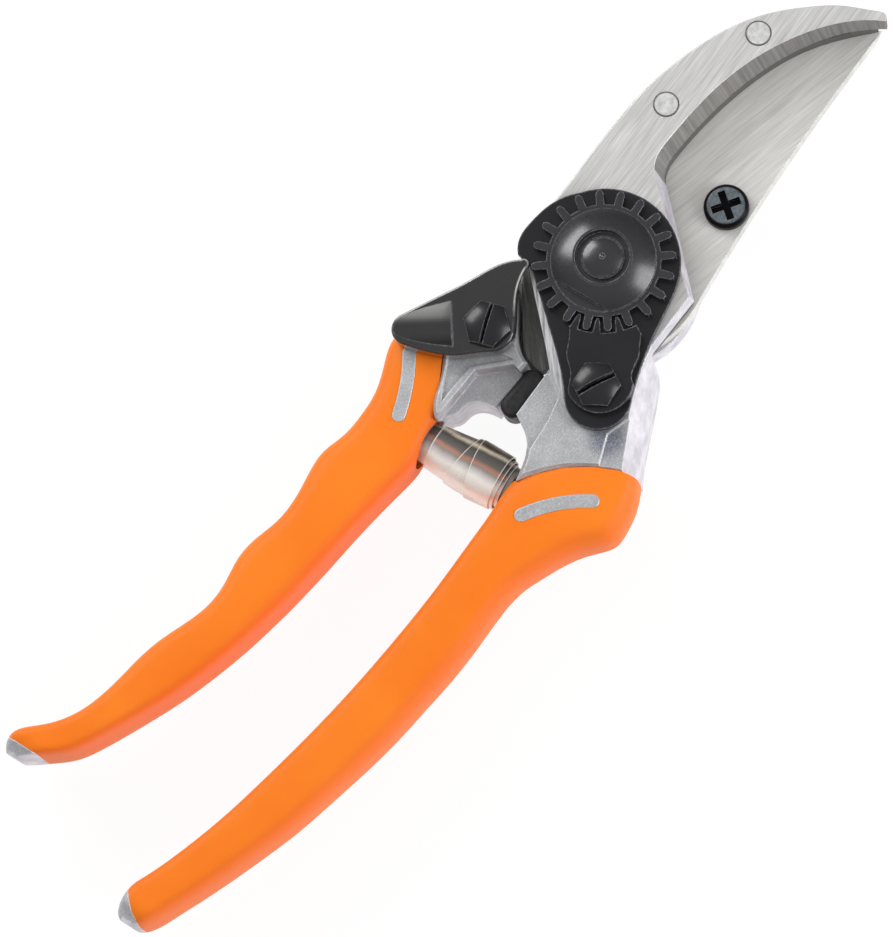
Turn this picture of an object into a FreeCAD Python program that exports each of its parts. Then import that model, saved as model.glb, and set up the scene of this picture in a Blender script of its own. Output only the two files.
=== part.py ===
import FreeCAD, Part
import math
import os

os.makedirs("parts", exist_ok=True)

# Bypass pruning shears, closed. Origin on the pivot axis at the underside of the bolt head,
# +X to the blade tips, +Y to the finger handle, +Z to the toothed nut. Millimetres.

# Layers along Z
BOLT_HEAD_TOP = 3.1
REAR_LOW = 3.2
REAR_HIGH = 8.7
BLADE_HIGH = 11.9
ANVIL_LOW = 12.0
ANVIL_HIGH = 15.0
HOOK_HIGH = 20.0
PLATE_HIGH = 21.2
RIM_HIGH = 23.2
BOSS_HIGH = 26.3
FINGER_LOW = 3.6
FINGER_HIGH = 18.4
PALM_LOW = 4.2
PALM_HIGH = 19.4
CATCH_LOW = 18.8
CATCH_HIGH = 22.3
MIDDLE = 11.6

# Pivot
BOLT_R = 4.0
RUNNING_GAP = 0.05
BOLT_HEAD_R = 9.5
REAR_HEAD_R = 16.6
TEETH = 20
FIRST_TOOTH = 12.4
TOOTH_TIP_R = 13.2
TOOTH_ROOT_R = 10.5
BOSS_R = 9.6
BOSS_DOME_R = 15.4
SUNK_R = 5.0
FLAT_DISTANCE = 7.7
FLAT_NORMAL = 193.3

# Toothed segment and its screw
SEGMENT_AT = (-17.3, -15.5)
SEGMENT_GAPS = [201.4, 219.4, 237.4]
SEGMENT_GAP = 0.3
HEX_CORNER_R = 4.5
CROWN_R = 7.5
HEX_HEIGHT = 2.4
SCREW_R = 2.6

# Catch
CATCH_AT = (-23.1, 7.0)
DISH_R = 5.8
DISH_DEPTH = 1.9
NOSE_CLEAR_R = 16.4
NOSE_LOW = 21.45

# Blade screw and rivets
BLADE_SCREW_AT = (23.9, -6.8)
CROSS_TURN = -26
BLADE_SCREW_HEAD_R = 4.2
BLADE_SCREW_R = 2.5
RIVETS_AT = [(29.1, 13.2), (50.3, 10.4)]
RIVET_R = 2.35

# Handle sections stand out this much past their stations on the outer side
GRIP_FULLNESS = 0.3

# Spring between the handles
SPRING_TOP = FreeCAD.Vector(-45.9, 3.1, MIDDLE)
SPRING_FOOT = FreeCAD.Vector(-40.6, -15.6, MIDDLE)
SPRING_MID_R = 4.6
SPRING_END_R = 3.0
STRIP_WIDTH = 4.4
STRIP_THICKNESS = 0.5
SPRING_PITCH = 2.6
PEG_FLANGE_R = 4.0
PEG_R = 2.0


def vec(x, y, z=0.0):
    return FreeCAD.Vector(x, y, z)


def polar(radius, degrees):
    angle = math.radians(degrees)
    return (radius * math.cos(angle), radius * math.sin(angle))


def outline(start, moves, z):
    """Closed wire: a move is a line to one point, an arc through two, or a smooth curve through more."""
    edges = []
    here = start
    for points in moves:
        places = [vec(x, y, z) for x, y in [here] + points]
        if len(points) == 1:
            edges.append(Part.makeLine(places[0], places[1]))
        elif len(points) == 2:
            edges.append(Part.Arc(places[0], places[1], places[2]).toShape())
        else:
            curve = Part.BSplineCurve()
            curve.interpolate(places)
            edges.append(curve.toShape())
        here = points[-1]
    return Part.Wire(edges)


def slab(start, moves, low, high):
    return Part.Face(outline(start, moves, low)).extrude(vec(0, 0, high - low))


def polygon(points, low, high):
    return slab(points[-1], [[point] for point in points], low, high)


def disc(centre, radius, low, high):
    return Part.makeCylinder(radius, high - low, vec(centre[0], centre[1], low))


def level_edges(shape, level):
    return [e for e in shape.Edges if e.BoundBox.ZMin > level - 0.01 and e.BoundBox.ZMax < level + 0.01]


def bevelled(shape, size, level):
    return shape.makeChamfer(size, level_edges(shape, level))


def rounded(shape, radius, level):
    return shape.makeFillet(radius, level_edges(shape, level))


def capsule(start, end, radius, low, high):
    """Slot-shaped prism from one centre to the other."""
    length = math.hypot(end[0] - start[0], end[1] - start[1])
    turn = math.degrees(math.atan2(end[1] - start[1], end[0] - start[0]))
    bar = Part.makeBox(length, 2 * radius, high - low, vec(0, -radius, low))
    bar.rotate(vec(0, 0, 0), vec(0, 0, 1), turn)
    bar.translate(vec(start[0], start[1], 0))
    return bar.fuse([disc(start, radius, low, high), disc(end, radius, low, high)]).removeSplitter()


def arc_slot(start, middle, end, half_width, low, high):
    """Slot-shaped prism that follows an arc through three points."""
    circle = Part.Arc(vec(*start), vec(*middle), vec(*end)).toShape().Curve
    hub = (circle.Center.x, circle.Center.y)

    def at(point, offset):
        reach = circle.Radius + offset
        return tuple(hub[i] + (point[i] - hub[i]) * reach / circle.Radius for i in (0, 1))

    def beyond(point, other):
        length = math.hypot(point[0] - other[0], point[1] - other[1])
        return tuple(point[i] + (point[i] - other[i]) * half_width / length for i in (0, 1))

    moves = [
        [at(middle, half_width), at(end, half_width)],
        [beyond(end, middle), at(end, -half_width)],
        [at(middle, -half_width), at(start, -half_width)],
        [beyond(start, middle), at(start, half_width)],
    ]
    return slab(at(start, half_width), moves, low, high)


def section(inner, outer, low, high):
    """Rounded section of a handle, boxy on its inner side and rounder outside."""
    length = math.hypot(outer[0] - inner[0], outer[1] - inner[1])
    outer = tuple(outer[i] + (outer[i] - inner[i]) * GRIP_FULLNESS / length for i in (0, 1))
    middle = vec((inner[0] + outer[0]) / 2, (inner[1] + outer[1]) / 2, (low + high) / 2)
    half = vec((outer[0] - inner[0]) / 2, (outer[1] - inner[1]) / 2, 0)
    points = []
    for step in range(28):
        angle = 2 * math.pi * step / 28
        power = 2 / (3.2 + 1.2 * (1 - math.cos(angle)))
        along = math.copysign(abs(math.cos(angle)) ** power, math.cos(angle))
        up = math.copysign(abs(math.sin(angle)) ** power, math.sin(angle))
        points.append(middle + half * along + vec(0, 0, up * (high - low) / 2))
    curve = Part.BSplineCurve()
    curve.interpolate(points, PeriodicFlag=True)
    return Part.Wire([curve.toShape()])


def handle_form(stations, low, high):
    """Solid through stations of inner point, outer point and how far each Z side is drawn in."""
    wires = [section(inner, outer, low + 0.2 + draw, high - 0.2 - draw) for inner, outer, draw in stations]
    return Part.makeLoft(wires, True, False)


def carved(shape, tools):
    """The shape with each tool cut away in turn."""
    for tool in tools:
        shape = shape.cut(tool)
    return shape


def one_solid(shape):
    return shape.removeSplitter().Solids[0]


# Finger handle


def finger_form():
    stations = [
        ((-139.2, 13.9), (-139.7, 15.9), 4.5),
        ((-138.0, 12.3), (-138.5, 16.8), 1.6),
        ((-135.6, 10.4), (-136.0, 17.3), 0.0),
        ((-131.6, 7.3), (-131.9, 14.9), 0.0),
        ((-126.0, 5.1), (-126.6, 11.9), 0.0),
        ((-119.6, 3.3), (-120.3, 10.6), 0.0),
        ((-114.6, 2.0), (-115.2, 10.5), 0.0),
        ((-109.6, 0.9), (-110.3, 10.6), 0.0),
        ((-104.6, 0.1), (-105.3, 10.2), 0.0),
        ((-99.6, -0.5), (-100.3, 9.2), 0.0),
        ((-94.6, -0.9), (-95.3, 8.5), 0.0),
        ((-89.6, -1.1), (-90.3, 9.1), 0.0),
        ((-84.6, -1.2), (-85.3, 10.7), 0.0),
        ((-79.6, -1.1), (-80.3, 11.1), 0.0),
        ((-74.6, -0.9), (-75.3, 10.6), 0.0),
        ((-69.6, -0.6), (-70.3, 11.1), 0.0),
        ((-64.6, -0.4), (-65.2, 12.6), 0.0),
        ((-59.6, -0.3), (-60.2, 13.7), 0.0),
        ((-54.6, -0.3), (-55.2, 13.2), 0.0),
        ((-49.8, 0.0), (-50.2, 13.6), 0.0),
        ((-45.0, 1.6), (-45.6, 14.7), 0.0),
        ((-40.4, 3.0), (-41.4, 16.9), 0.0),
        ((-35.6, 4.6), (-36.8, 19.3), 0.0),
        ((-30.0, 6.6), (-31.0, 18.6), 0.0),
        ((-26.0, 8.0), (-26.4, 16.9), 0.0),
    ]
    return handle_form(stations, FINGER_LOW, FINGER_HIGH)


def finger_bare_end():
    """Region past the sleeve's far end, where the aluminium shows."""
    line = [(-137.4, 30), (-137.3, 17.5), (-135.6, 9.8), (-131.0, 4.0)]
    return polygon([(-150, 30)] + line + [(-150, 4)], 0, 30)


def finger_bare_neck():
    """Region past the sleeve's head end."""
    line = [(-42.2, 0.0), (-41.5, 2.6), (-39.6, 5.0), (-35.8, 7.2), (-32.4, 10.0), (-29.6, 14.2)]
    line = line + [(-28.4, 22.0)]
    return polygon(line + [(-10, 22), (-10, 0)], 0, 30)


def finger_core():
    """Tang inside the sleeve, from the bare end to the neck."""
    lower = [(-130, 9.2), (-119, 5.6), (-105, 2.6), (-90, 1.4), (-70, 1.8), (-52, 2.4), (-40, 6.2)]
    upper = [(-40, 13.4), (-52, 10.8), (-70, 8.8), (-90, 6.8), (-105, 7.6), (-119, 8.6), (-130, 11.6)]
    moves = [[(-137.5, 13.6)], lower, [(-28, 9.5)], [(-28, 14.0)], upper, [(-137.5, 14.6)]]
    return slab((-137.5, 14.6), moves, 6.4, 15.8)


def finger_pad():
    """Bare pad that stands up flush through the window in the sleeve."""
    return arc_slot((-45.8, 7.8), (-41.4, 10.4), (-36.4, 14.6), 1.25, 12.0, FINGER_HIGH - 0.1)


def finger_neck():
    """Cast neck, full thickness, with its stop lug and a recessed panel beside the ridge."""
    body = slab(
        (-11.6, 12.5),
        [
            [(-13.6, 9.6), (-16.3, 6.6), (-19.6, 3.4), (-21.9, 0.2), (-22.6, -2.3)],
            [(-32.2, -3.1)],
            [(-32.6, -1.6), (-33.7, 0.2), (-35.4, 1.2), (-37.2, 1.3), (-39.0, 2.0)],
            [(-41.6, 2.6)],
            [(-39.6, 5.0), (-35.8, 7.2), (-32.4, 10.0), (-29.8, 14.0), (-28.6, 17.4)],
            [(-24.0, 15.7), (-18.0, 14.4), (-12.6, 13.5)],
            [(-11.6, 12.5)],
        ],
        FINGER_LOW,
        FINGER_HIGH,
    )
    body = bevelled(body, 0.6, FINGER_HIGH)
    panel = polygon([(-41.0, 2.6), (-30.2, 3.6), (-24.6, -0.6), (-24.6, -8), (-42, -8)], 14.2, 30)
    rim = [(-38.6, 3.9), (-30.4, 4.7), (-23.9, -0.1), (-25.2, 4.0), (-31, 9.6), (-35.4, 6.6)]
    return body.cut([panel, polygon(rim, FINGER_HIGH - 0.7, 30)])


def rear_head():
    """Head of the finger handle: disc, arm behind the blade and web to the neck."""
    arm = slab(
        (2.0, -13.4),
        [
            [(14.0, -11.4), (22.0, -9.9), (27.6, -9.0)],
            [(31.0, -5.4), (28.0, -2.2)],
            [(16.0, 3.0), (8.0, 9.0), (4.0, 12.0)],
            [(2.0, -13.4)],
        ],
        REAR_LOW,
        REAR_HIGH,
    )
    web = slab(
        (-12.2, 13.2),
        [
            [(-28.6, 16.0)],
            [(-33.0, 4.0)],
            [(-31.0, -2.6)],
            [(-22.4, -2.6)],
            [(-15.8, -3.4)],
            [(0, 0)],
            [(-12.2, 13.2)],
        ],
        REAR_LOW,
        REAR_HIGH,
    )
    head = disc((0, 0), REAR_HEAD_R, REAR_LOW, REAR_HIGH)
    return head.fuse([arm, web])


def spring_place():
    axis = SPRING_FOOT - SPRING_TOP
    return FreeCAD.Placement(SPRING_TOP, FreeCAD.Rotation(vec(0, 0, 1), axis))


def spring_length():
    return (SPRING_FOOT - SPRING_TOP).Length


def on_spring_axis(shape):
    return shape.transformed(spring_place().toMatrix())


def seat_clearance():
    """Room cut in both handles so the spring's ends sit square."""
    return on_spring_axis(Part.makeCylinder(PEG_FLANGE_R + 1.0, spring_length(), vec(0, 0, 0)))


def peg(at, away):
    """Pressed peg: shank in the handle, flange on its face, stub inside the spring."""
    shank = Part.makeCylinder(PEG_R, 4.6, vec(0, 0, 0), vec(0, 0, -1))
    flange = Part.makeCylinder(PEG_FLANGE_R, 0.8)
    stub = Part.makeCylinder(PEG_R - 0.2, 3.2)
    shape = shank.fuse([flange, stub]).removeSplitter()
    if away < 0:
        shape.rotate(vec(0, 0, 0), vec(1, 0, 0), 180)
    shape.translate(vec(0, 0, at))
    return on_spring_axis(shape)


def finger_peg():
    return peg(0.0, 1)


def palm_peg():
    return peg(spring_length(), -1)


def blade_handle():
    form = finger_form()
    shape = form.common(finger_bare_end())
    shape = shape.fuse([finger_core(), finger_pad(), finger_neck(), rear_head()])
    shape = shape.cut(disc((0, 0), BOLT_R + RUNNING_GAP, 0, 30))
    shape = shape.cut(disc(BLADE_SCREW_AT, BLADE_SCREW_R, 0, 30))
    shape = shape.cut(disc(CATCH_AT, SCREW_R, 6.0, 30))
    shape = shape.cut([seat_clearance(), finger_peg()])
    return one_solid(shape)


def finger_grip():
    sleeve = finger_form().cut([finger_bare_end(), finger_bare_neck()])
    inside = [finger_core(), finger_neck(), finger_pad(), seat_clearance(), finger_peg()]
    return one_solid(carved(sleeve, inside))


# Palm handle


def palm_form():
    stations = [
        ((-146.2, -21.2), (-145.7, -23.4), 4.5),
        ((-144.9, -19.7), (-144.4, -25.0), 1.6),
        ((-142.6, -18.9), (-141.8, -26.0), 0.0),
        ((-139.0, -18.75), (-138.2, -26.9), 0.0),
        ((-135.3, -19.6), (-134.7, -27.7), 0.0),
        ((-130.3, -20.45), (-129.7, -28.8), 0.0),
        ((-120.3, -21.55), (-119.7, -30.6), 0.0),
        ((-110.3, -21.95), (-109.7, -31.9), 0.0),
        ((-100.3, -22.05), (-99.7, -32.5), 0.0),
        ((-90.3, -21.85), (-89.7, -32.8), 0.0),
        ((-80.3, -21.25), (-79.7, -32.4), 0.0),
        ((-70.3, -20.35), (-69.7, -31.7), 0.0),
        ((-60.8, -19.1), (-60.0, -30.2), 0.0),
        ((-53.4, -17.9), (-53.4, -29.7), 0.0),
        ((-46.6, -16.7), (-46.8, -31.0), 0.0),
        ((-42.4, -15.8), (-42.0, -32.5), 0.0),
        ((-37.8, -15.8), (-37.4, -35.0), 0.0),
        ((-33.4, -18.0), (-33.0, -36.1), 0.0),
        ((-28.8, -21.0), (-28.4, -34.6), 0.0),
        ((-24.6, -23.4), (-23.8, -31.6), 0.0),
        ((-21.4, -25.0), (-20.6, -29.4), 0.0),
    ]
    return handle_form(stations, PALM_LOW, PALM_HIGH)


def palm_bare_end():
    line = [(-139.4, -10), (-140.8, -18.6), (-143.3, -22.2), (-145.6, -28.0)]
    return polygon([(-150, -10)] + line + [(-150, -28)], 0, 30)


def palm_bare_neck():
    line = [(-40.6, -10.0), (-39.6, -16.5), (-36.3, -18.0), (-31.9, -20.9), (-28.2, -24.7)]
    line = line + [(-25.3, -28.7), (-23.0, -34.0), (-23.0, -40)]
    return polygon(line + [(0, -40), (0, -10)], 0, 30)


def palm_core():
    upper = [(-130, -22.8), (-110, -24.6), (-90, -24.6), (-70, -23.4), (-55, -21.2), (-44, -19.6)]
    lower = [(-44, -27.6), (-55, -26.8), (-70, -28.6), (-90, -30.0), (-110, -29.4), (-130, -26.6)]
    moves = [[(-144.4, -21.6)], upper, [(-30, -21.6)], [(-26, -28.6)], lower, [(-144.4, -23.2)]]
    return slab((-144.4, -23.2), moves, 7.0, 16.8)


def palm_pad():
    return arc_slot((-43.4, -21.7), (-37.7, -24.7), (-32.6, -29.2), 1.25, 12.0, PALM_HIGH - 0.1)


def outer_slope():
    """Wedge taken off the outer top edge of the palm neck."""
    start = (-4.0, -13.6)
    along = vec(-22.0, -16.0)
    outward = vec(0.588, -0.809)
    corners = [(-0.6, PALM_HIGH + 1.3), (6.4, PALM_HIGH + 1.3), (6.4, PALM_HIGH - 13.6)]
    points = [vec(start[0] + outward.x * n, start[1] + outward.y * n, z) for n, z in corners]
    return Part.Face(Part.makePolygon(points + [points[0]])).extrude(along)


def palm_neck():
    """Cast neck, full thickness, cleared round the rear head."""
    body = slab(
        (-5.9, -17.6),
        [
            [polar(17.3, 251.0)],
            [polar(17.3, 228.0), polar(17.3, 200.0)],
            [(-21.6, -6.2)],
            [(-30.8, -7.6)],
            [(-31.4, -9.4), (-32.4, -11.7), (-34.1, -13.7), (-36.2, -15.0), (-39.6, -16.4)],
            [(-36.3, -18.0), (-31.9, -20.9), (-28.2, -24.7), (-25.3, -28.7), (-23.8, -31.6)],
            [(-17.4, -26.8), (-13.3, -24.1), (-9.3, -21.3)],
            [(-7.2, -19.6), (-5.9, -17.6)],
        ],
        PALM_LOW,
        PALM_HIGH,
    )
    body = bevelled(body, 0.7, PALM_HIGH)
    shelf = [(-20.6, -4.0), (-21.5, -6.5), (-23.4, -11.2), (-27.9, -12.9), (-33.5, -14.2)]
    shelf = shelf + [(-37.0, -9.0), (-33.0, -4.0)]
    facet = [(-22.0, -22.4), (-16.4, -23.4), (-25.0, -29.6), (-27.2, -25.4)]
    lowered = [polygon(shelf, PALM_HIGH - 1.3, 30), polygon(facet, PALM_HIGH - 0.35, 30)]
    return body.cut(lowered + [outer_slope()])


HOOK_TIP = (67.9, -5.0)
HOOK_OUTER = [
    (68.8, -3.8),
    (67.9, -2.0),
    (64.9, 2.5),
    (59.9, 7.5),
    (54.9, 11.3),
    (49.9, 14.0),
    (39.9, 16.9),
    (29.9, 18.0),
    (19.9, 17.5),
    (9.9, 16.1),
    (1.9, 15.1),
]
HOOK_INNER = [
    (18.6, 5.8),
    (20.2, 7.1),
    (24.9, 8.2),
    (34.9, 8.8),
    (44.9, 7.9),
    (54.9, 4.8),
    (64.9, -1.5),
    HOOK_TIP,
]
EDGE_INNER = [
    (19.7, 4.8),
    (21.2, 5.8),
    (25.4, 6.7),
    (35.4, 7.1),
    (45.4, 6.2),
    (55.2, 3.5),
    (64.6, -1.9),
    HOOK_TIP,
]


def hook_wire(inner, corner, throat, z):
    """Outline of the hooked head at the level of one of its faces."""
    moves = [
        HOOK_OUTER,
        [(-4.0, 14.3), (-8.2, 11.8), (-10.9, 8.4), (-14.2, 3.4), (-18.1, -2.6), (-21.2, -7.0)],
        [(-23.4, -13.0)],
        [(-20.0, -21.0)],
        [(-14.0, -20.4)],
        [(-5.0, -16.9)],
        [corner],
        [throat],
        inner,
    ]
    return outline(HOOK_TIP, moves, z)


def hook_head():
    """Hooked forging in front: its concave wall leans out from the front face to the counter-blade."""
    front = hook_wire(HOOK_INNER, (6.2, -15.4), (17.4, 4.0), HOOK_HIGH)
    back = hook_wire(EDGE_INNER, (6.9, -15.5), (18.9, 3.5), ANVIL_HIGH)
    return Part.makeLoft([back, front], True, True)


def hook_handle():
    shape = palm_form().common(palm_bare_end())
    shape = shape.fuse([palm_core(), palm_pad(), palm_neck(), hook_head()])
    shape = shape.cut(disc((0, 0), BOLT_R, 0, 30))
    shape = shape.cut(disc(SEGMENT_AT, SCREW_R, 8.0, 30))
    shape = shape.cut([disc(at, RIVET_R, 0, 30) for at in RIVETS_AT])
    shape = shape.cut([seat_clearance(), palm_peg(), bumper()])
    return one_solid(shape)


def palm_grip():
    sleeve = palm_form().cut([palm_bare_end(), palm_bare_neck()])
    inside = [palm_core(), palm_neck(), palm_pad(), seat_clearance(), palm_peg()]
    return one_solid(carved(sleeve, inside))


def bumper():
    """Rubber buffer: block between the necks with a stem pressed in the palm neck."""
    block = slab(
        (-23.0, -7.0),
        [[(-22.0, -4.6), (-23.6, -2.75)], [(-30.6, -3.35)], [(-32.2, -5.5), (-30.6, -7.8)], [(-23.0, -7.0)]],
        9.8,
        17.0,
    )
    stem = Part.makeCylinder(1.6, 5.0, vec(-27.1, -6.0, MIDDLE), vec(0.08, -1.0, 0))
    block = rounded(rounded(block, 1.2, 17.0), 1.2, 9.8)
    return block.fuse(stem)


# Blades


def anvil_blade():
    shape = slab(
        (67.0, -3.6),
        [
            [(63.9, 2.5), (58.9, 7.0), (48.9, 12.8), (38.9, 15.7), (28.9, 16.8), (18.9, 16.2), (8.0, 14.6)],
            [(0.0, 14.6)],
            [(-7.0, 13.2), (-13.0, 9.2), (-15.8, 6.2), (-19.1, 2.9), (-21.3, -0.2), (-21.8, -4.6)],
            [(-15.6, -6.6)],
            [(-5.2, -14.2)],
            [(-4.2, -16.5)],
            [(6.7, -15.2)],
            [(18.9, 3.5)],
            EDGE_INNER[:-1] + [(67.0, -3.6)],
        ],
        ANVIL_LOW,
        ANVIL_HIGH,
    )
    return shape.cut([disc((0, 0), BOLT_R, 0, 30)] + [disc(at, RIVET_R, 0, 30) for at in RIVETS_AT])


def cutting_blade():
    """Straight-backed blade with a curved edge ground thin from behind."""
    blade = slab(
        (6.4, -15.8),
        [
            [(20.4, -12.3), (45.0, -7.3), (67.6, -3.9)],
            [(60.0, 3.4), (50.0, 8.2), (40.0, 10.8), (30.0, 11.6), (20.0, 11.4), (8.0, 12.2)],
            [polar(13.6, 135), (-13.6, 0.0)],
            [(-12.6, -5.2), (-9.0, -11.2), (-4.0, -15.3), (1.2, -16.3), (6.4, -15.8)],
        ],
        REAR_HIGH,
        BLADE_HIGH,
    )
    edge = [e for e in level_edges(blade, REAR_HIGH) if e.BoundBox.XMin > 7.0 and e.BoundBox.YMax > 11.0]
    blade = blade.makeChamfer(2.6, edge)
    return blade.cut([disc((0, 0), BOLT_R + RUNNING_GAP, 0, 30), disc(BLADE_SCREW_AT, BLADE_SCREW_R, 0, 30)])


def cross_recess(centre, top):
    """Tapered cross-shaped recess of a cross-head screw."""
    arms = []
    for turn in (CROSS_TURN, CROSS_TURN + 90):
        arm = Part.makeBox(5.6, 1.4, 2.0, vec(-2.8, -0.7, top - 1.5))
        arm.rotate(vec(0, 0, 0), vec(0, 0, 1), turn)
        arm.translate(vec(centre[0], centre[1], 0))
        arms.append(arm)
    return arms[0].fuse(arms[1])


def blade_screw():
    top = BLADE_HIGH + 2.3
    head = rounded(disc(BLADE_SCREW_AT, BLADE_SCREW_HEAD_R, BLADE_HIGH, top), 1.1, top)
    shank = disc(BLADE_SCREW_AT, BLADE_SCREW_R, 3.6, BLADE_HIGH)
    return head.fuse(shank).cut(cross_recess(BLADE_SCREW_AT, top))


def hook_rivets():
    return Part.makeCompound([disc(at, RIVET_R, ANVIL_LOW, HOOK_HIGH + 0.12) for at in RIVETS_AT])


# Pivot hardware


def pivot_bolt():
    head = bevelled(disc((0, 0), BOLT_HEAD_R, 0, BOLT_HEAD_TOP), 0.8, 0)
    shank = disc((0, 0), BOLT_R, BOLT_HEAD_TOP, 25.4)
    dome = Part.makeSphere(8.0, vec(0, 0, 18.6)).common(disc((0, 0), 3.6, 25.4, 27.5))
    centre_mark = Part.makeCone(0.0, 0.7, 0.5, vec(0, 0, 26.2))
    return head.fuse([shank, dome]).cut(centre_mark).removeSplitter()


def tooth(centre_angle, root_half, tip_half, root_r, tip_r):
    """Tooth as thick as the rim, with a rounded tip, given by radii and half angles."""
    shoulder_r = tip_r + (root_r - tip_r) * 0.2
    points = [
        polar(root_r, centre_angle - root_half),
        polar(shoulder_r, centre_angle - tip_half),
        polar(tip_r, centre_angle - tip_half * 0.45),
        polar(tip_r, centre_angle + tip_half * 0.45),
        polar(shoulder_r, centre_angle + tip_half),
        polar(root_r, centre_angle + root_half),
    ]
    return polygon(points, PLATE_HIGH, RIM_HIGH)


def pivot_nut():
    """Toothed rim under a domed boss with one flat and a sunk centre."""
    rim = disc((0, 0), TOOTH_ROOT_R, PLATE_HIGH, RIM_HIGH)
    angles = [FIRST_TOOTH + k * 360 / TEETH for k in range(TEETH)]
    teeth = [tooth(angle, 4.4, 3.3, TOOTH_ROOT_R - 0.3, TOOTH_TIP_R) for angle in angles]
    dome = Part.makeSphere(BOSS_DOME_R, vec(0, 0, BOSS_HIGH - 14.4))
    boss = disc((0, 0), BOSS_R, RIM_HIGH, BOSS_HIGH).common(dome)
    shape = rim.fuse(teeth + [boss])
    flat = Part.makeBox(6, 30, 6, vec(FLAT_DISTANCE, -15, RIM_HIGH + 0.2))
    flat.rotate(vec(0, 0, 0), vec(0, 0, 1), FLAT_NORMAL)
    shape = shape.cut([flat, disc((0, 0), BOLT_R, 20, 25.4), disc((0, 0), SUNK_R, 24.6, 30)])
    return one_solid(shape)


def lock_plate():
    """Pear-shaped plate with a notch for the catch."""
    plate = slab(
        (-10.0, 9.0),
        [
            [(-9.8, 12.6)],
            [(-6.7, 14.8), (-3.3, 15.2), (0.0, 15.1), (2.9, 14.4), polar(14.0, 63.0)],
            [polar(13.9, 2.0), polar(13.9, -59.0)],
            [(3.8, -13.5), (0.0, -14.8), (-5.0, -16.6), (-10.0, -18.9), (-14.4, -21.3)],
            [(-23.4, -20.2), (-22.6, -12.2)],
            [(-20.0, -8.8), (-15.8, -1.7), (-12.1, 5.0), (-10.0, 9.0)],
        ],
        HOOK_HIGH,
        PLATE_HIGH,
    )
    return plate.cut([disc((0, 0), BOLT_R, 0, 30), disc(SEGMENT_AT, SCREW_R, 0, 30)])


def toothed_segment():
    """Locking segment: its teeth stand in gaps of the nut."""
    inner_r = TOOTH_TIP_R + SEGMENT_GAP
    body = slab(
        polar(inner_r, 197.0),
        [
            [polar(inner_r, 224.0), polar(inner_r, 251.0)],
            [(-4.9, -14.6)],
            [(-7.0, -16.2)],
            [(-8.6, -17.4), (-11.4, -18.6), (-12.4, -20.0)],
            [(-20.0, -20.0), (-22.3, -14.6)],
            [(-21.4, -12.2), (-19.0, -10.4), (-17.2, -7.6), (-15.4, -6.2), polar(inner_r, 197.0)],
        ],
        PLATE_HIGH,
        RIM_HIGH,
    )
    reach = TOOTH_ROOT_R + SEGMENT_GAP
    teeth = [tooth(angle, 3.4, 2.2, inner_r + 0.4, reach) for angle in SEGMENT_GAPS]
    return one_solid(body.fuse(teeth).cut(disc(SEGMENT_AT, SCREW_R, 0, 30)))


def hex_screw(centre, slot_angle, slot_width, seat, foot):
    """Hexagon head with a driver slot on a plain shank."""
    corners = [polar(HEX_CORNER_R, slot_angle + 30 + 60 * k) for k in range(6)]
    head = polygon([(centre[0] + x, centre[1] + y) for x, y in corners], seat, seat + HEX_HEIGHT)
    crown = Part.makeSphere(CROWN_R, vec(centre[0], centre[1], seat + HEX_HEIGHT - CROWN_R))
    slot = Part.makeBox(12, slot_width, 2, vec(-6, -slot_width / 2, seat + HEX_HEIGHT - 1.1))
    slot.rotate(vec(0, 0, 0), vec(0, 0, 1), slot_angle)
    slot.translate(vec(centre[0], centre[1], 0))
    return head.common(crown).fuse(disc(centre, SCREW_R, foot, seat)).cut(slot)


# Catch


def thumb_catch():
    """Locking lever: dished thumb pad, boss round its screw and a nose thinned to a lip."""
    body = slab(
        (-10.8, 9.4),
        [
            [(-9.4, 10.2), (-10.2, 11.4)],
            [(-12.9, 13.3), (-20.0, 15.6), (-25.0, 17.3), (-32.9, 20.0)],
            [(-35.6, 19.4), (-36.6, 16.4)],
            [(-33.8, 10.8), (-31.3, 7.5), (-28.3, 5.0), (-26.0, 3.0)],
            [(-23.4, 1.8), (-20.4, 2.8)],
            [(-18.3, 4.6), (-15.8, 6.9), (-13.3, 8.5), (-10.8, 9.4)],
        ],
        CATCH_LOW,
        CATCH_HIGH,
    )
    body = rounded(body, 0.5, CATCH_HIGH)
    wall = vec(-26.9, 11.4, CATCH_HIGH + DISH_R - DISH_DEPTH)
    tip = vec(-35.4, 19.2, CATCH_HIGH + DISH_R)
    dish = Part.makeCylinder(DISH_R, 16, wall, tip - wall)
    lip = disc((0, 0), NOSE_CLEAR_R, 0, NOSE_LOW)
    return one_solid(body.cut([dish, lip, disc(CATCH_AT, SCREW_R + RUNNING_GAP, 0, 30)]))


def catch_washer():
    ring = disc(CATCH_AT, 4.6, FINGER_HIGH, FINGER_HIGH + 0.3)
    return ring.cut(disc(CATCH_AT, SCREW_R, 0, 30))


# Spring


def spring():
    """Flat strip wound in two cones that meet at the widest coil."""
    half = (spring_length() - 1.9 - STRIP_WIDTH) / 2
    lean = math.degrees(math.atan((SPRING_MID_R - SPRING_END_R) / half))
    path = Part.makeHelix(SPRING_PITCH, half, SPRING_MID_R, -lean)
    corners = [(-0.5, -0.5), (0.5, -0.5), (0.5, 0.5), (-0.5, 0.5), (-0.5, -0.5)]
    places = [vec(SPRING_MID_R + a * STRIP_THICKNESS, 0, b * STRIP_WIDTH) for a, b in corners]
    strip = Part.Wire(path).makePipeShell([Part.makePolygon(places)], True, True)
    other = strip.copy()
    other.rotate(vec(0, 0, 0), vec(1, 0, 0), 180)
    coil = Part.makeCompound([strip, other])
    coil.translate(vec(0, 0, spring_length() / 2))
    return on_spring_axis(coil)


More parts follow.
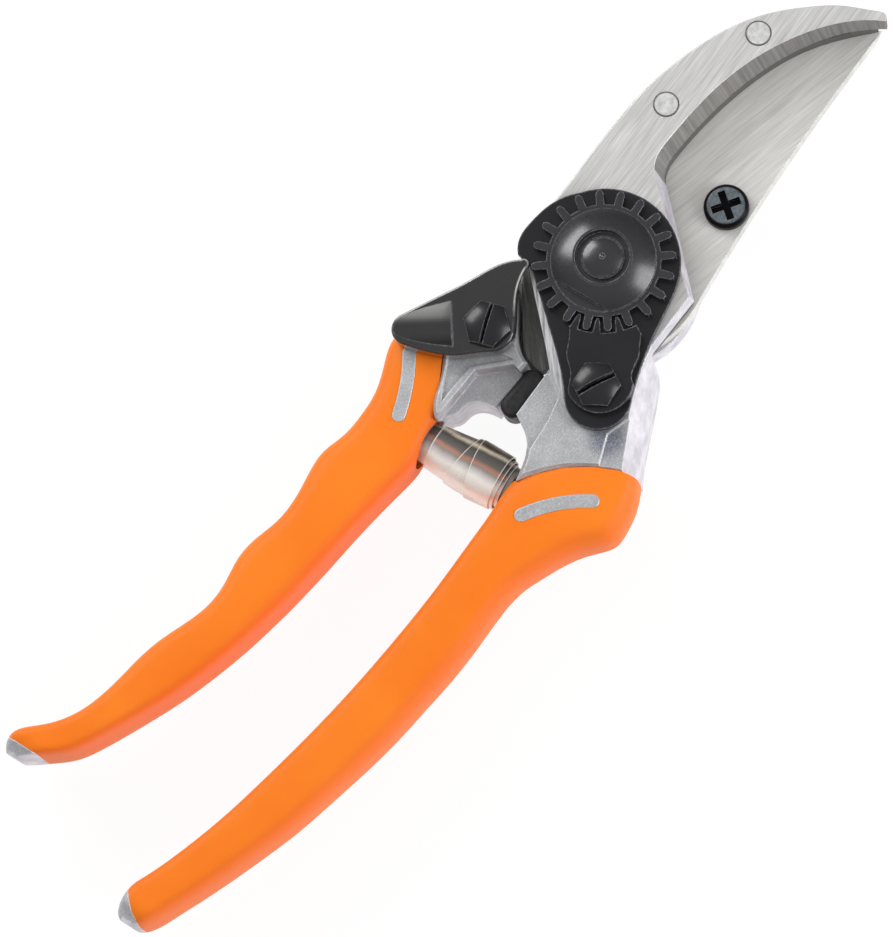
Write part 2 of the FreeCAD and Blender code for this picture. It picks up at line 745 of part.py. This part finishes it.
NODES = {
    "hook_handle": hook_handle,
    "anvil_blade": anvil_blade,
    "hook_rivets": hook_rivets,
    "palm_grip": palm_grip,
    "pivot_bolt": pivot_bolt,
    "pivot_nut": pivot_nut,
    "lock_plate": lock_plate,
    "toothed_segment": toothed_segment,
    "segment_screw": lambda: hex_screw(SEGMENT_AT, -18, 0.9, RIM_HIGH, 8.0),
    "bumper": bumper,
    "spring_peg_palm": palm_peg,
    "blade_handle": blade_handle,
    "cutting_blade": cutting_blade,
    "blade_screw": blade_screw,
    "finger_grip": finger_grip,
    "catch_screw": lambda: hex_screw(CATCH_AT, 29, 0.6, CATCH_HIGH + 0.1, 6.0),
    "catch_washer": catch_washer,
    "spring_peg_finger": finger_peg,
    "thumb_catch": thumb_catch,
    "spring": spring,
}

for name, build in NODES.items():
    build().exportStep("parts/" + name + ".step")
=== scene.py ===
import bpy
import math
from mathutils import Matrix, Vector


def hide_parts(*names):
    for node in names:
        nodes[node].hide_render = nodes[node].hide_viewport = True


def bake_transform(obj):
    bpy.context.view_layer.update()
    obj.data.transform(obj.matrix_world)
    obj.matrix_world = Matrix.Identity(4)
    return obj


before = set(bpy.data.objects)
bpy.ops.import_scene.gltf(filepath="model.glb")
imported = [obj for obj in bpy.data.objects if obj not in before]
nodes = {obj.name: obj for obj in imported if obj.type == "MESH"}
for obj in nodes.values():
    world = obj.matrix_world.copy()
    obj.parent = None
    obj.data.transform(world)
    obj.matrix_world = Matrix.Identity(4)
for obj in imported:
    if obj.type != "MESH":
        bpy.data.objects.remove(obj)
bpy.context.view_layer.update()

MM = 0.001

# Places on the object, in millimetres, where a finish changes or where painted shade, sheen and highlight
# begin
HOOK_FACE_Z = 19.75
# The concave wall painted dark as shade starts at this X
WALL_START_X = 18.9
# Centre of a facet on the neck that is painted dark bluish as shade
SHADED_FACET = (-22.8, -23.2)
RIVETS = ((29.1, 13.2), (50.3, 10.4))
SLOT_FLOORS = (24.5, 23.7)
# Above this height the cross screw's top is painted blue-grey as sheen
CROSS_TOP_Z = 13.9
# The painted highlight in the thumb dish grows from this wall along ACROSS_DISH
DISH_WALL = (-26.9, 11.4)
ACROSS_DISH = (0.676, 0.737)


# Node helpers for procedural materials

class Mat:
    """A node material built in object space, so patterns stay on the piece as it moves."""

    def __init__(self, name):
        self.m = bpy.data.materials.new(name)
        self.m.use_nodes = True
        self.t = self.m.node_tree
        self.b = self.t.nodes["Principled BSDF"]
        self.coord = self.t.nodes.new("ShaderNodeTexCoord").outputs["Object"]

    def put(self, socket, value):
        if isinstance(value, bpy.types.NodeSocket):
            self.t.links.new(value, socket)
        else:
            socket.default_value = value

    def mapping(self, scale=(1, 1, 1), turn=0.0, shift=(0, 0, 0)):
        """Coordinates turned about Z, then stretched: a pattern drawn out along the turned X axis."""
        first = self.t.nodes.new("ShaderNodeMapping")
        self.put(first.inputs["Vector"], self.coord)
        first.inputs["Rotation"].default_value = (0, 0, -turn)
        n = self.t.nodes.new("ShaderNodeMapping")
        self.put(n.inputs["Vector"], first.outputs[0])
        n.inputs["Scale"].default_value = scale
        n.inputs["Location"].default_value = shift
        return n.outputs[0]

    def noise(self, vector, scale, detail=4.0, rough=0.55):
        n = self.t.nodes.new("ShaderNodeTexNoise")
        self.put(n.inputs["Vector"], vector)
        n.inputs["Scale"].default_value = scale
        n.inputs["Detail"].default_value = detail
        n.inputs["Roughness"].default_value = rough
        return n.outputs["Fac"]

    def ramp(self, fac, stops):
        n = self.t.nodes.new("ShaderNodeValToRGB")
        self.put(n.inputs[0], fac)
        e = n.color_ramp.elements
        while len(e) < len(stops):
            e.new(0.5)
        for el, (at, c) in zip(e, stops):
            el.position = at
            el.color = (*c, 1) if len(c) == 3 else c
        return n.outputs[0]

    def math(self, op, a, b=0.0):
        n = self.t.nodes.new("ShaderNodeMath")
        n.operation = op
        self.put(n.inputs[0], a)
        self.put(n.inputs[1], b)
        return n.outputs[0]

    def mix(self, fac, a, b):
        n = self.t.nodes.new("ShaderNodeMix")
        n.data_type = "RGBA"
        self.put(n.inputs[0], fac)
        self.put(n.inputs[6], a if isinstance(a, bpy.types.NodeSocket) else (*a, 1))
        self.put(n.inputs[7], b if isinstance(b, bpy.types.NodeSocket) else (*b, 1))
        return n.outputs[2]

    def maprange(self, v, a, b, c=0.0, d=1.0):
        n = self.t.nodes.new("ShaderNodeMapRange")
        self.put(n.inputs[0], v)
        for i, x in enumerate((a, b, c, d)):
            n.inputs[i + 1].default_value = x
        return n.outputs[0]

    def xyz(self, source=None):
        n = self.t.nodes.new("ShaderNodeSeparateXYZ")
        self.put(n.inputs[0], source or self.coord)
        return n.outputs

    def attribute(self, name):
        """Value stored on the points of the mesh."""
        n = self.t.nodes.new("ShaderNodeAttribute")
        n.attribute_name = name
        return n.outputs["Fac"]

    def normal_xyz(self):
        g = self.t.nodes.new("ShaderNodeNewGeometry")
        return self.xyz(g.outputs["True Normal"])

    def edge(self, radius):
        """How much a point lies on a rounded edge: 0 on a flat, up to 1 on a corner."""
        g = self.t.nodes.new("ShaderNodeNewGeometry")
        n = self.t.nodes.new("ShaderNodeBevel")
        n.samples = 4
        n.inputs["Radius"].default_value = radius
        d = self.t.nodes.new("ShaderNodeVectorMath")
        d.operation = "DOT_PRODUCT"
        self.put(d.inputs[0], n.outputs[0])
        self.put(d.inputs[1], g.outputs["True Normal"])
        return self.maprange(d.outputs["Value"], 0.995, 0.9)

    def bump(self, height, strength, distance=0.0002, radius=0.0):
        n = self.t.nodes.new("ShaderNodeBump")
        n.inputs["Strength"].default_value = strength
        n.inputs["Distance"].default_value = distance
        self.put(n.inputs["Height"], height)
        if radius:
            bevel = self.t.nodes.new("ShaderNodeBevel")
            bevel.samples = 4
            bevel.inputs["Radius"].default_value = radius
            self.put(n.inputs["Normal"], bevel.outputs[0])
        self.put(self.b.inputs["Normal"], n.outputs[0])

    def set(self, **values):
        names = {"color": "Base Color", "rough": "Roughness", "metal": "Metallic", "coat": "Coat Weight",
                 "coat_rough": "Coat Roughness", "spec": "Specular IOR Level", "sss": "Subsurface Weight"}
        for k, v in values.items():
            if isinstance(v, tuple) and len(v) == 3:
                v = (*v, 1)
            self.put(self.b.inputs[names[k]], v)


def brushed(name, low, high, turn, rough=(0.36, 0.50)):
    m = Mat(name)
    lines = m.noise(m.mapping((90, 3200, 60), turn), 1.0, 2.0, 0.6)
    wide = m.noise(m.mapping((60, 1000, 60), turn + 0.06, (3, 1, 2)), 1.0, 3.0, 0.6)
    blotch = m.noise(m.coord, 90.0, 3.0)
    both = m.math("ADD", m.math("MULTIPLY", lines, 0.6), m.math("MULTIPLY", wide, 0.4))
    shade = m.math("ADD", both, m.math("MULTIPLY", m.math("SUBTRACT", blotch, 0.5), 0.2))
    m.set(color=m.ramp(shade, [(0.3, low), (0.7, high)]), metal=0.3,
          rough=m.maprange(both, 0.3, 0.7, *rough))
    m.bump(both, 0.25, 0.00004, 0.0002)
    return m


def spot(m, centre, inner, outer):
    """Soft mask: 1 inside a circle in plan view, 0 outside it."""
    x, y, z = m.xyz()
    dx = m.math("SUBTRACT", x, centre[0] * MM)
    dy = m.math("SUBTRACT", y, centre[1] * MM)
    far = m.math("SQRT", m.math("ADD", m.math("MULTIPLY", dx, dx), m.math("MULTIPLY", dy, dy)))
    return m.maprange(far, inner * MM, outer * MM, 1.0, 0.0)


def cast_alu():
    """Cast aluminium with a brushed front on the hook; its ground concave wall is painted dark as shade, a
    facet is painted dark as shade, side walls are painted light, and edges carry a painted highlight over
    some wear.
    """
    m = Mat("cast_aluminium")
    x, y, z = m.xyz()
    ny, nz = m.normal_xyz()[1:]
    grain = m.noise(m.coord, 3600.0, 2.0, 0.6)
    patches = m.noise(m.coord, 260.0, 4.0, 0.6)
    both = m.math("ADD", m.math("MULTIPLY", grain, 0.65), m.math("MULTIPLY", patches, 0.35))
    cast = m.ramp(both, [
        (0.32, (0.34, 0.345, 0.36)), (0.50, (0.45, 0.455, 0.47)), (0.68, (0.62, 0.625, 0.64))])
    # A facet on the neck is painted dark bluish: painted shade.
    facet_shade = m.math("MULTIPLY", spot(m, SHADED_FACET, 2.0, 4.2), 0.8)
    cast = m.mix(facet_shade, cast, m.ramp(grain, [(0.35, (0.09, 0.10, 0.135)), (0.65, (0.28, 0.30, 0.36))]))
    lines = m.noise(m.mapping((110, 3200, 60), 0.12), 1.0, 2.0, 0.6)
    wide = m.noise(m.mapping((70, 1000, 60), 0.20, (3, 1, 2)), 1.0, 3.0, 0.6)
    stripes = m.math("ADD", m.math("MULTIPLY", lines, 0.6), m.math("MULTIPLY", wide, 0.4))
    brush = m.ramp(stripes, [
        (0.30, (0.46, 0.455, 0.445)), (0.5, (0.60, 0.595, 0.58)), (0.70, (0.78, 0.77, 0.755))])
    top = m.math("GREATER_THAN", z, HOOK_FACE_Z * MM)
    flat = m.math("GREATER_THAN", nz, 0.98)
    face = m.math("MULTIPLY", m.math("MULTIPLY", top, flat), m.maprange(x, -6 * MM, 4 * MM))
    color = m.mix(face, cast, brush)
    streak = m.noise(m.mapping((120, 2400, 60), 0.89), 1.0, 3.0, 0.7)
    strip = m.math("MULTIPLY", m.math("MULTIPLY", top, flat), m.maprange(x, -2 * MM, -6 * MM))
    color = m.mix(strip, color, m.ramp(streak, [(0.36, (0.26, 0.26, 0.27)), (0.60, (0.74, 0.74, 0.76))]))
    # Side walls facing -Y are painted light lavender: painted light.
    side = m.math("MULTIPLY", m.math("LESS_THAN", nz, 0.5), m.math("LESS_THAN", ny, -0.05))
    color = m.mix(side, color, m.ramp(patches, [(0.35, (0.52, 0.50, 0.55)), (0.65, (0.76, 0.73, 0.78))]))
    # The ground concave wall of the hook, with cross grind lines, is painted dark as shade.
    right = m.math("GREATER_THAN", x, WALL_START_X * MM)
    steep = m.math("MULTIPLY", m.math("LESS_THAN", nz, 0.8), m.math("LESS_THAN", ny, -0.05))
    wall = m.math("MULTIPLY", right, steep)
    cross = m.noise(m.mapping((1700, 60, 60), 0.05), 1.0, 3.0, 0.6)
    dark = m.ramp(cross, [(0.3, (0.15, 0.142, 0.138)), (0.7, (0.27, 0.258, 0.25))])
    color = m.mix(wall, color, dark)
    # Edges are painted near white: partly wear, partly a painted highlight; none on the wall painted as
    # shade.
    edge_wear_and_highlight = m.math("MULTIPLY", m.edge(0.0004), m.math("SUBTRACT", 0.6, m.math("MULTIPLY", wall, 0.6)))
    color = m.mix(edge_wear_and_highlight, color, (0.92, 0.92, 0.93))
    m.set(color=color, metal=m.maprange(wall, 0, 1, 0.5, 0.2), rough=m.maprange(face, 0, 1, 0.48, 0.42))
    m.bump(both, 0.5, 0.00010, 0.0004)
    return m


def black(name, tone, rough, coat, radius=0.0003, coat_rough=0.22, spec=0.25):
    """Black finish with lighter edges: rubbed wear and a painted highlight."""
    m = Mat(name)
    grain = m.noise(m.coord, 1500.0, 2.0, 0.6)
    cloud = m.noise(m.coord, 130.0, 3.0)
    base = m.ramp(cloud, [(0.3, tuple(c * 0.8 for c in tone)), (0.7, tuple(c * 1.3 for c in tone))])
    # Edges painted light grey: rubbed wear and a painted highlight.
    edge_rub_and_highlight = m.math("MULTIPLY", m.edge(radius), m.maprange(grain, 0.35, 0.65, 0.15, 0.75))
    m.set(color=m.mix(edge_rub_and_highlight, base, (0.40, 0.40, 0.46)), metal=0.0,
          rough=m.maprange(grain, 0.3, 0.7, rough - 0.05, rough + 0.06),
          coat=coat, coat_rough=coat_rough, spec=spec)
    m.bump(grain, 0.12, 0.00004, radius)
    return m


def enamel():
    """Black enamel of the catch; one side of the thumb dish is painted lighter as a highlight."""
    m = black("black_enamel", (0.005, 0.005, 0.005), 0.22, 0.9, 0.0004, 0.08, 0.4)
    x, y = m.xyz()[:2]
    nz = m.normal_xyz()[2]
    # Painted highlight: the thumb dish grows lighter across from its wall.
    dish = m.math("MULTIPLY", m.math("GREATER_THAN", nz, 0.5), m.maprange(nz, 0.995, 0.94))
    dx = m.math("MULTIPLY", m.math("SUBTRACT", x, DISH_WALL[0] * MM), ACROSS_DISH[0])
    dy = m.math("MULTIPLY", m.math("SUBTRACT", y, DISH_WALL[1] * MM), ACROSS_DISH[1])
    dish_highlight = m.math("MULTIPLY", dish, m.maprange(m.math("ADD", dx, dy), 0.4 * MM, 3.4 * MM, 0.0, 0.9))
    plain = m.b.inputs["Base Color"].links[0].from_socket
    m.set(color=m.mix(dish_highlight, plain, (0.40, 0.40, 0.39)))
    return m


def hex_black():
    """Black hexagon screws; the floors of their slots stay dead black."""
    m = black("black_hex_screw", (0.006, 0.006, 0.008), 0.34, 0.3, 0.0003, 0.18, 0.3)
    nz = m.normal_xyz()[2]
    z = m.xyz()[2]
    off = [m.math("ABSOLUTE", m.math("SUBTRACT", z, floor * MM)) for floor in SLOT_FLOORS]
    low = m.math("LESS_THAN", m.math("MINIMUM", *off), 0.05 * MM)
    slot = m.math("MULTIPLY", low, m.math("GREATER_THAN", nz, 0.999))
    m.set(spec=m.maprange(slot, 0, 1, 0.3, 0.0), coat=m.maprange(slot, 0, 1, 0.3, 0.0))
    return m


def cross_screw():
    """Cross-head screw: blue-grey top, a painted sheen, inside a black rim, black recess; edges painted
    lighter as wear and highlight.
    """
    m = Mat("cross_screw")
    nz = m.normal_xyz()[2]
    grain = m.noise(m.coord, 1200.0, 3.0, 0.6)
    high = m.math("GREATER_THAN", m.xyz()[2], CROSS_TOP_Z * MM)
    # The top face is painted blue-grey: painted sheen.
    top = m.math("MULTIPLY", high, m.maprange(nz, 0.90, 0.99))
    face = m.ramp(grain, [(0.3, (0.045, 0.058, 0.070)), (0.7, (0.13, 0.155, 0.175))])
    # Edges painted lighter: wear and a painted highlight.
    edge_rub_and_highlight = m.math("MULTIPLY", m.edge(0.0002), 0.5)
    m.set(color=m.mix(edge_rub_and_highlight, m.mix(top, (0.003, 0.003, 0.004), face), (0.25, 0.27, 0.29)), rough=0.32,
          spec=m.maprange(top, 0, 1, 0.08, 0.5), coat=m.maprange(top, 0, 1, 0.0, 0.3), coat_rough=0.2)
    m.bump(grain, 0.2, 0.00005, 0.0003)
    return m


def vinyl():
    """Orange sleeve; the side walls that face the other handle are painted redder as shade."""
    m = Mat("orange_vinyl")
    ny = m.normal_xyz()[1]
    fine = m.noise(m.coord, 1700.0, 2.0)
    cloud = m.noise(m.coord, 45.0, 3.0)
    base = m.ramp(cloud, [(0.35, (0.88, 0.185, 0.006)), (0.65, (0.91, 0.215, 0.010))])
    # Side walls facing -Y painted redder: painted shade.
    side = m.maprange(ny, -0.2, -0.95, 0.0, 0.8)
    m.set(color=m.mix(side, base, (0.86, 0.15, 0.02)), rough=m.maprange(fine, 0.3, 0.7, 0.46, 0.58),
          spec=0.22, sss=0.05)
    m.b.inputs["Subsurface Radius"].default_value = (0.002, 0.0008, 0.0003)
    m.bump(fine, 0.08, 0.00004)
    return m


def rubber():
    m = Mat("black_rubber")
    fine = m.noise(m.coord, 700.0, 4.0)
    m.set(color=m.ramp(fine, [(0.3, (0.008, 0.008, 0.009)), (0.7, (0.03, 0.03, 0.03))]),
          rough=m.maprange(fine, 0.35, 0.65, 0.30, 0.6), spec=0.3)
    m.bump(fine, 0.5, 0.0002, 0.0006)
    return m


def nickel():
    """Plain plated steel of the pegs."""
    m = Mat("nickel_steel")
    cloud = m.noise(m.coord, 200.0, 3.0)
    m.set(color=m.ramp(cloud, [(0.3, (0.20, 0.18, 0.16)), (0.7, (0.34, 0.31, 0.28))]), metal=0.9, rough=0.3)
    m.bump(cloud, 0.05, 0.00003)
    return m


def strip_metal():
    """Plated spring strip with painted reflections that run lengthwise along the spring, and painted
    highlights on the coil edges.
    """
    m = Mat("spring_strip")
    warp = m.math("MULTIPLY", m.math("SUBTRACT", m.noise(m.coord, 160.0, 3.0), 0.5), 0.10)
    place = m.math("ADD", m.maprange(m.attribute("across"), -5.7, 5.7), warp)
    # Bands across the spring are painted reflections: dark, reddish from the orange handle, and white.
    painted_reflection_bands = m.ramp(place, [
        (0.02, (0.05, 0.04, 0.034)), (0.10, (0.12, 0.09, 0.06)), (0.15, (0.78, 0.69, 0.54)),
        (0.21, (0.10, 0.09, 0.08)), (0.34, (0.13, 0.12, 0.11)), (0.40, (0.44, 0.21, 0.14)),
        (0.46, (0.30, 0.26, 0.24)), (0.54, (0.62, 0.58, 0.56)), (0.62, (0.92, 0.90, 0.84)),
        (0.92, (0.96, 0.94, 0.88)), (1.00, (0.66, 0.60, 0.60))])
    fine = m.noise(m.coord, 900.0, 3.0)
    # Coil edges are painted light: painted highlight.
    rim = m.maprange(m.attribute("rim"), 0.93, 0.98, 0.0, 0.75)
    m.set(color=m.mix(rim, painted_reflection_bands, (0.94, 0.91, 0.84)), metal=0.35,
          rough=m.maprange(fine, 0.3, 0.7, 0.26, 0.36))
    return m


def bright():
    """Bright steel; the rivets have a dark ring where they meet the casting."""
    m = Mat("bright_steel")
    patch = m.noise(m.coord, 900.0, 4.0, 0.6)
    color = m.ramp(patch, [(0.3, (0.60, 0.60, 0.59)), (0.7, (0.84, 0.84, 0.82))])
    inner = m.math("MAXIMUM", *[spot(m, rivet_at, 2.0, 2.25) for rivet_at in RIVETS])
    rivet = m.math("GREATER_THAN", m.xyz()[0], 20 * MM)
    ring = m.math("MULTIPLY", rivet, m.math("SUBTRACT", 1.0, inner))
    m.set(color=m.mix(ring, color, (0.10, 0.095, 0.09)), metal=0.7,
          rough=m.maprange(patch, 0.3, 0.7, 0.3, 0.45))
    m.bump(patch, 0.25, 0.00005, 0.0003)
    return m


def counter_steel():
    """Counter blade: ground edge with cross lines painted dark as shade below the hook; face painted dark as
    shade in the gap, with lengthwise streaks.
    """
    m = Mat("counter_blade_steel")
    nz = m.normal_xyz()[2]
    cross = m.noise(m.mapping((1700, 60, 60), 0.05), 1.0, 3.0, 0.6)
    # Painted shade: the ground edge is painted near black.
    wall = m.ramp(cross, [(0.3, (0.07, 0.066, 0.064)), (0.7, (0.13, 0.122, 0.118))])
    streak = m.noise(m.mapping((90, 1500, 60), 0.92), 1.0, 4.0, 0.7)
    # Painted shade: the flat face seen in the gap is painted dark, with lighter streaks.
    plate = m.ramp(streak, [
        (0.35, (0.065, 0.067, 0.058)), (0.58, (0.135, 0.138, 0.124)), (0.72, (0.42, 0.42, 0.41))])
    flat = m.math("GREATER_THAN", nz, 0.9)
    m.set(color=m.mix(flat, wall, plate), metal=0.4, rough=m.maprange(cross, 0.3, 0.7, 0.35, 0.5))
    m.bump(streak, 0.3, 0.00005)
    return m


MATERIALS = {
    "alu": cast_alu(),
    "blade": brushed("blade_steel", (0.52, 0.515, 0.495), (0.76, 0.755, 0.725), -0.12),
    "edge": counter_steel(),
    "black": black("black_oxide", (0.006, 0.006, 0.008), 0.36, 0.3, 0.0004),
    "screw": hex_black(),
    "nut": black("black_nut", (0.008, 0.008, 0.011), 0.30, 0.5, 0.0003, 0.2, 0.5),
    "cross": cross_screw(),
    "catch": enamel(),
    "orange": vinyl(),
    "rubber": rubber(),
    "nickel": nickel(),
    "bright": bright(),
}
LOOKS = {
    "hook_handle": "alu", "blade_handle": "alu", "anvil_blade": "edge", "cutting_blade": "blade",
    "hook_rivets": "bright", "palm_grip": "orange", "finger_grip": "orange", "pivot_bolt": "nut",
    "pivot_nut": "nut", "lock_plate": "black", "toothed_segment": "black", "segment_screw": "screw",
    "bumper": "rubber", "spring_peg_palm": "nickel", "spring_peg_finger": "nickel", "blade_screw": "cross",
    "catch_screw": "screw", "catch_washer": "bright", "thumb_catch": "catch", "spring": "nickel",
}
for name, look in LOOKS.items():
    mesh = nodes[name].data
    mesh.materials.clear()
    mesh.materials.append(MATERIALS[look].m)


# Volute spring: one flat strip wound so that each coil nests in the next, widest at mid-length

SPRING_FROM = Vector((-45.0, 0.2, 11.6))
SPRING_TO = Vector((-41.2, -13.4, 11.6))
STRIP = 0.26
TURNS = 5.5
STEPS = 352
ROW = 9

# Edges of the strip along the spring and its radius, each as (turn, millimetres)
LOW_EDGE = [(0, -2.0), (0.7, -2.0), (1.0, 0), (1.5, 0), (2.0, 4.5), (2.5, 7.0), (3.0, 9.2), (3.5, 7.7),
            (4.0, 8.0), (5.5, 9.0)]
HIGH_EDGE = [(0, 5.0), (1.0, 7.6), (1.5, 8.8), (2.0, 11.4), (2.5, 12.4), (3.0, 14.1), (3.5, 14.1),
             (4.0, 14.8), (4.5, 14.9), (5.0, 15.5), (5.5, 15.5)]
COIL_R = [(0, 4.50), (1.0, 4.95), (2.0, 5.28), (3.25, 5.74), (4.25, 5.2), (5.5, 4.5)]


def between(table, t, smooth=True):
    """Reading of a short table of (position, value) pairs."""
    for (a, u), (b, v) in zip(table, table[1:]):
        if t <= b:
            k = (t - a) / (b - a)
            return u + (v - u) * (k * k * (3 - 2 * k) if smooth else k)
    return table[-1][1]


def flare(along):
    """How much the coils narrow towards the two ends of the spring."""
    return -0.10 * max(0.0, 7.0 - along) - 0.055 * max(0.0, along - 9.0)


def volute():
    """Continuous strip whose ends ride on the two handles."""
    axis = (SPRING_TO - SPRING_FROM).normalized()
    out = Vector((-0.062, -0.221, 0.973))
    face = (out - axis * out.dot(axis)).normalized()
    down = axis.cross(face)
    verts, marks = [], []
    for i in range(STEPS + 1):
        t = TURNS * i / STEPS
        low, high = between(LOW_EDGE, t), between(HIGH_EDGE, t)
        angle = 2 * math.pi * t
        way = down * math.cos(angle) + face * math.sin(angle)
        for side in (1, 0):
            for j in range(ROW):
                k = j / (ROW - 1)
                along = low + (high - low) * (k if side else 1 - k)
                r = between(COIL_R, t, False) + flare(along) - STRIP * (1 - side)
                verts.append((SPRING_FROM + axis * along + way * r) * MM)
                # Place across the spring feeds the painted reflection bands; nearness to a strip edge feeds
                # the painted edge highlight.
                marks.append((r * math.cos(angle), abs(2 * k - 1)))
    ring = 2 * ROW
    faces = []
    for i in range(STEPS):
        for j in range(ring):
            a, b = i * ring + j, i * ring + (j + 1) % ring
            faces.append((a, b, b + ring, a + ring))
    faces.append(tuple(range(ring)))
    faces.append(tuple(reversed(range(STEPS * ring, (STEPS + 1) * ring))))
    mesh = bpy.data.meshes.new("volute_spring")
    mesh.from_pydata([tuple(v) for v in verts], [], faces)
    for i, name in enumerate(("across", "rim")):
        mesh.attributes.new(name, "FLOAT", "POINT").data.foreach_set("value", [mark[i] for mark in marks])
    mesh.validate()
    for p in mesh.polygons:
        p.use_smooth = True
    obj = bpy.data.objects.new("volute_spring", mesh)
    bpy.context.scene.collection.objects.link(obj)
    mesh.materials.append(strip_metal().m)
    smooth = obj.modifiers.new("sharp_edges", "EDGE_SPLIT")
    smooth.split_angle = math.radians(40)
    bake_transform(obj)
    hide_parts("spring")


volute()


# Stage

def floor_material():
    m = Mat("pale_floor")
    cloud = m.noise(m.coord, 3.0, 2.0)
    m.set(color=m.ramp(cloud, [(0.3, (0.085, 0.085, 0.085)), (0.7, (0.10, 0.10, 0.10))]), rough=0.8, spec=0.1)
    m.b.inputs["Emission Color"].default_value = (1, 1, 1, 1)
    m.b.inputs["Emission Strength"].default_value = 0.92
    return m.m


def add_floor():
    bpy.ops.mesh.primitive_plane_add(size=4, location=(0, 0, -0.0002))
    floor = bpy.context.object
    floor.name = "floor"
    floor.data.materials.append(floor_material())


RIGHT = Vector((0.706, -0.699, -0.114)).normalized()
UP = Vector((0.706, 0.680, 0.200))
BACK = RIGHT.cross(UP).normalized()
UP = BACK.cross(RIGHT).normalized()
AIM = Vector((-46.7, -5.5, 17.8)) * MM


def add_area(name, right, up, back, distance, size, watts):
    light = bpy.data.lights.new(name, "AREA")
    light.shape = "RECTANGLE"
    light.size, light.size_y = size
    light.energy = watts
    obj = bpy.data.objects.new(name, light)
    bpy.context.scene.collection.objects.link(obj)
    way = (RIGHT * right + UP * up + BACK * back).normalized()
    obj.location = AIM + way * distance
    obj.rotation_mode = "QUATERNION"
    obj.rotation_quaternion = way.to_track_quat("Z", "Y")


def add_lights():
    world = bpy.data.worlds.new("studio")
    bpy.context.scene.world = world
    world.use_nodes = True
    background = world.node_tree.nodes["Background"]
    coord = world.node_tree.nodes.new("ShaderNodeTexCoord")
    split = world.node_tree.nodes.new("ShaderNodeSeparateXYZ")
    ramp = world.node_tree.nodes.new("ShaderNodeValToRGB")
    world.node_tree.links.new(coord.outputs["Generated"], split.inputs[0])
    world.node_tree.links.new(split.outputs[2], ramp.inputs[0])
    world.node_tree.links.new(ramp.outputs[0], background.inputs[0])
    ramp.color_ramp.elements[0].position = 0.10
    ramp.color_ramp.elements[0].color = (0.22, 0.22, 0.23, 1)
    ramp.color_ramp.elements[1].position = 0.75
    ramp.color_ramp.elements[1].color = (0.80, 0.80, 0.80, 1)
    background.inputs[1].default_value = 0.8
    add_area("key", -0.75, 0.80, 0.42, 0.9, (0.6, 0.35), 5.0)
    add_area("fill", 1.0, -0.1, 0.62, 0.9, (0.45, 0.7), 6.0)


CAMERA_DISTANCE = 0.95
FRAME_HEIGHT = 0.1702
SENSOR = 36


def add_camera():
    data = bpy.data.cameras.new("camera")
    data.sensor_fit = "VERTICAL"
    data.sensor_height = SENSOR
    data.lens = SENSOR * CAMERA_DISTANCE / FRAME_HEIGHT
    data.clip_start = 0.01
    obj = bpy.data.objects.new("camera", data)
    bpy.context.scene.collection.objects.link(obj)
    turn = Matrix((RIGHT, UP, BACK)).transposed().to_4x4()
    obj.matrix_world = Matrix.Translation(AIM + BACK * CAMERA_DISTANCE) @ turn
    bpy.context.scene.camera = obj


add_floor()
add_lights()
add_camera()

bpy.context.scene.view_settings.view_transform = "Standard"
